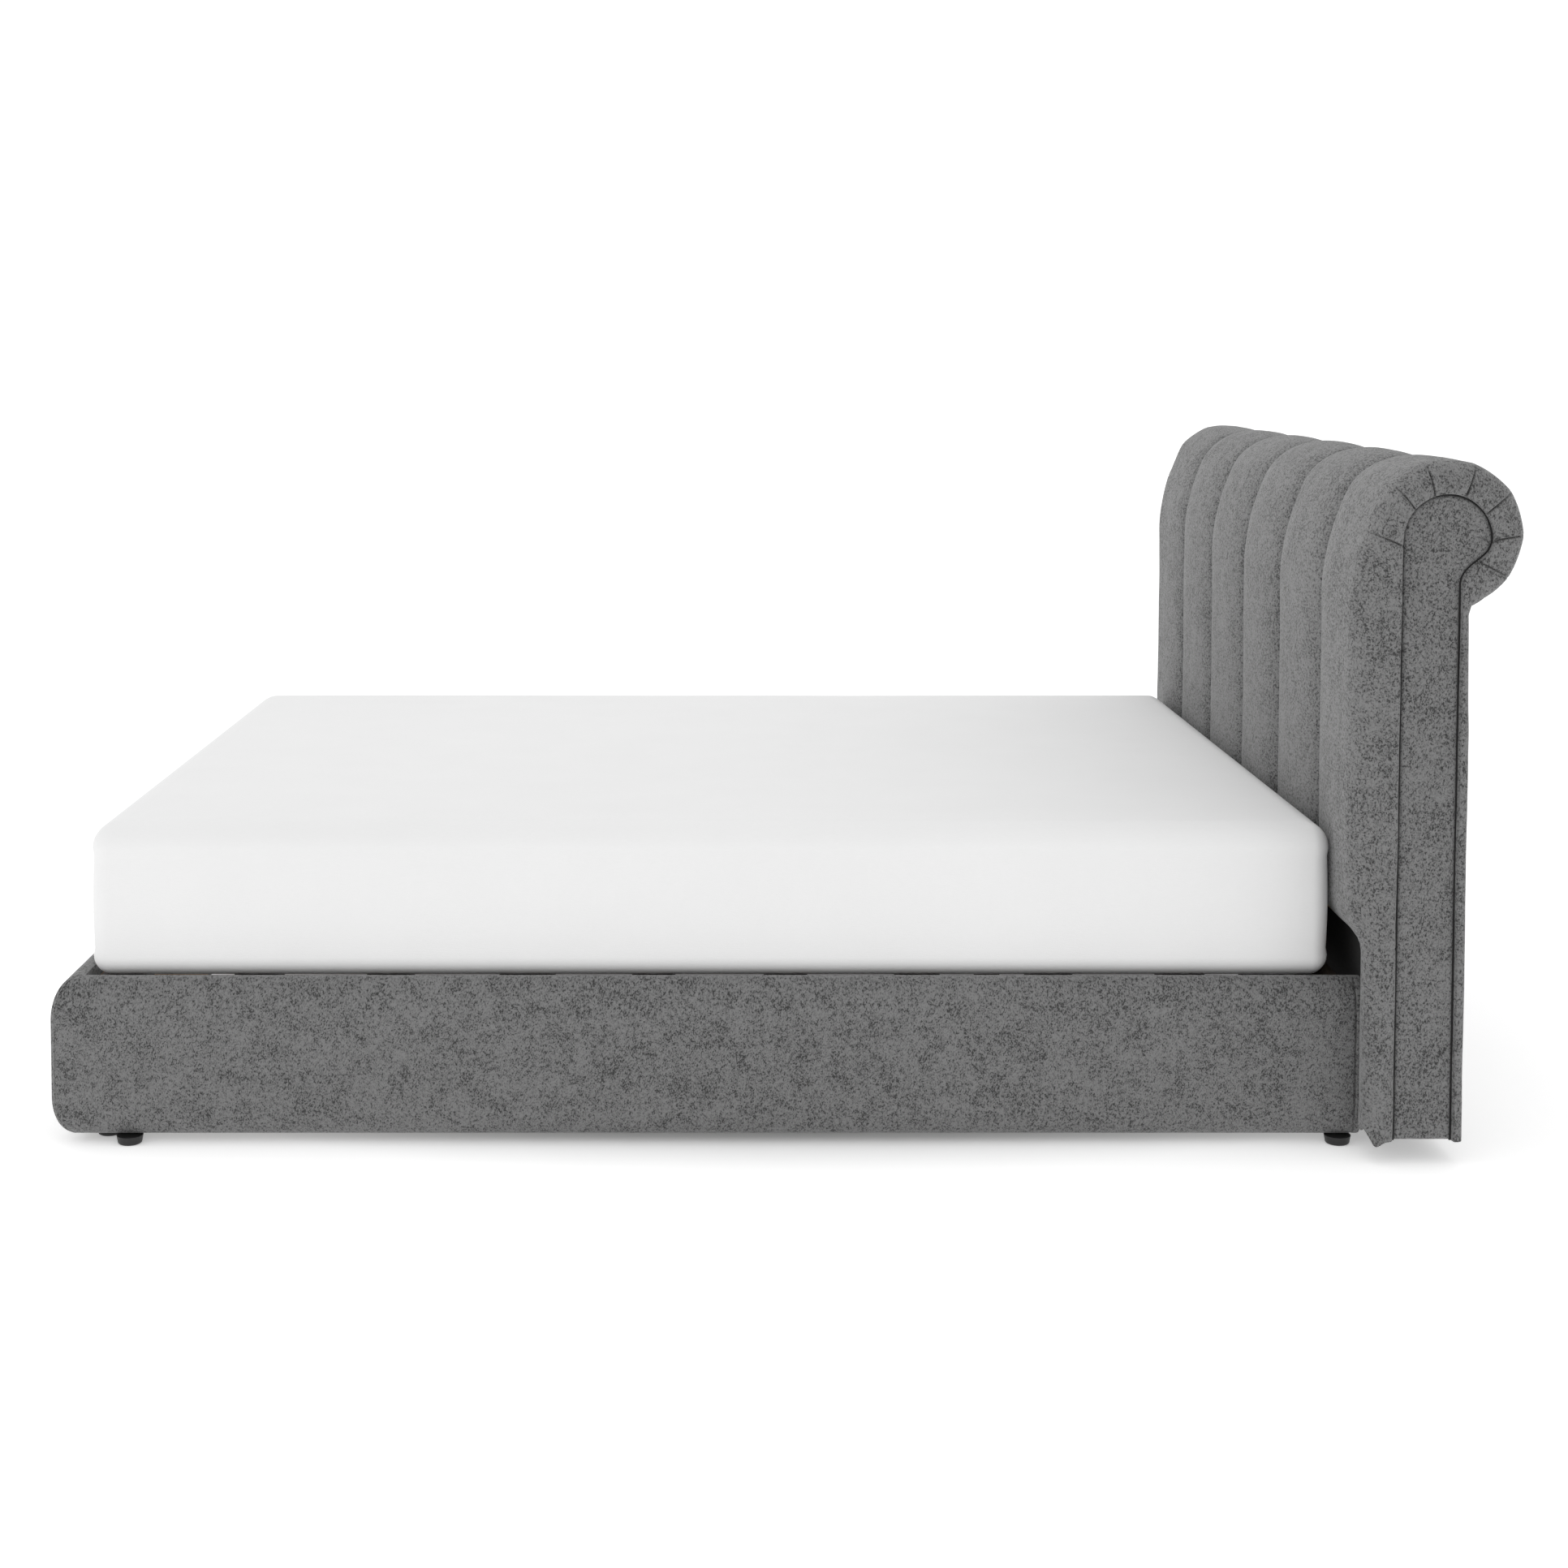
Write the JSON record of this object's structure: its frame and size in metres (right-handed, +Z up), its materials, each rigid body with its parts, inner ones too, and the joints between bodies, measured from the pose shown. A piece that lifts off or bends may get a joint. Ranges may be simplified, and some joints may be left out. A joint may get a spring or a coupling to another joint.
{
  "type": "sleigh bed",
  "caption": "Upholstered sleigh bed: tall channelled headboard that rolls back over a scroll, low padded rails, slatted base and a mattress in a white sheet.",
  "frame": {"origin": "centre of the bed's footprint, on the floor", "axes": "+Z up, +Y towards the headboard, +X towards the left side of a sleeper lying on their back"},
  "size_m": [1.8, 2.334, 1.114],
  "materials": {
    "upholstery": "heathered grey woven upholstery, matt with a soft pile",
    "white_sheet": "smooth white cotton",
    "ticking": "off-white knitted mattress ticking",
    "foam": "open-cell foam",
    "dust_cover": "black non-woven",
    "foot_plastic": "moulded black, lightly grained",
    "black_steel": "black powder coat",
    "zinc_steel": "zinc plated",
    "plywood": "raw birch plywood",
    "timber": "planed pine, raw",
    "stained_timber": "planed pine, stained dark"
  },
  "bodies": {
    "bed_frame": {"back_panel": "upholstery", "base_screws": "zinc_steel", "beam_stirrups": "black_steel", "centre_beam": "stained_timber", "centre_leg_1": "stained_timber", "centre_leg_2": "stained_timber", "channel_pad_1": "upholstery", "channel_pad_2": "upholstery", "channel_pad_3": "upholstery", "channel_pad_4": "upholstery", "channel_pad_5": "upholstery", "channel_pad_6": "upholstery", "corner_block_feet": "foot_plastic", "corner_blocks": "stained_timber", "corner_brackets": "black_steel", "foot_rail_board": "timber", "foot_rail_pad": "upholstery", "frame_bolts": "zinc_steel", "headboard_bottom_rail": "timber", "headboard_dust_cover": "dust_cover", "headboard_end_left": "plywood", "headboard_end_right": "plywood", "headboard_feet": "foot_plastic", "headboard_front_board": "plywood", "headboard_middle_rail": "timber", "headboard_post_left": "timber", "headboard_post_right": "timber", "headboard_rear_rails": "timber", "headboard_top_rail": "timber", "leg_inserts": "zinc_steel", "lower_front_panel": "dust_cover", "roll_formers": "plywood", "roll_skin": "plywood", "roll_stretcher": "timber", "side_border_left": "upholstery", "side_border_right": "upholstery", "side_panel_left": "upholstery", "side_panel_right": "upholstery", "side_rail_board_left": "stained_timber", "side_rail_board_right": "stained_timber", "side_rail_feet": "foot_plastic", "side_rail_pad_left": "upholstery", "side_rail_pad_right": "upholstery", "slat_01": "stained_timber", "slat_02": "stained_timber", "slat_03": "stained_timber", "slat_04": "stained_timber", "slat_05": "stained_timber", "slat_06": "stained_timber", "slat_07": "stained_timber", "slat_08": "stained_timber", "slat_09": "stained_timber", "slat_10": "stained_timber", "slat_ledger_left": "stained_timber", "slat_ledger_right": "stained_timber"},
    "mattress": {"mattress_core": "foam", "mattress_ticking": "ticking", "fitted_sheet": "white_sheet"},
    "leveller_1": {"leveller_1": "zinc_steel"},
    "leveller_2": {"leveller_2": "zinc_steel"}
  },
  "joints": [
    {"name": "mattress_lift", "type": "slide", "parent": "bed_frame", "child": "mattress", "axis": [0, 0, 1], "range_m": [0, 0.4]},
    {"name": "leveller_1_turn", "type": "hinge", "parent": "bed_frame", "child": "leveller_1", "pos_m": [0, -0.43, 0.03], "axis": [0, 0, 1], "continuous": true},
    {"name": "leveller_2_turn", "type": "hinge", "parent": "bed_frame", "child": "leveller_2", "pos_m": [0, 0.43, 0.03], "axis": [0, 0, 1], "continuous": true}
  ]
}
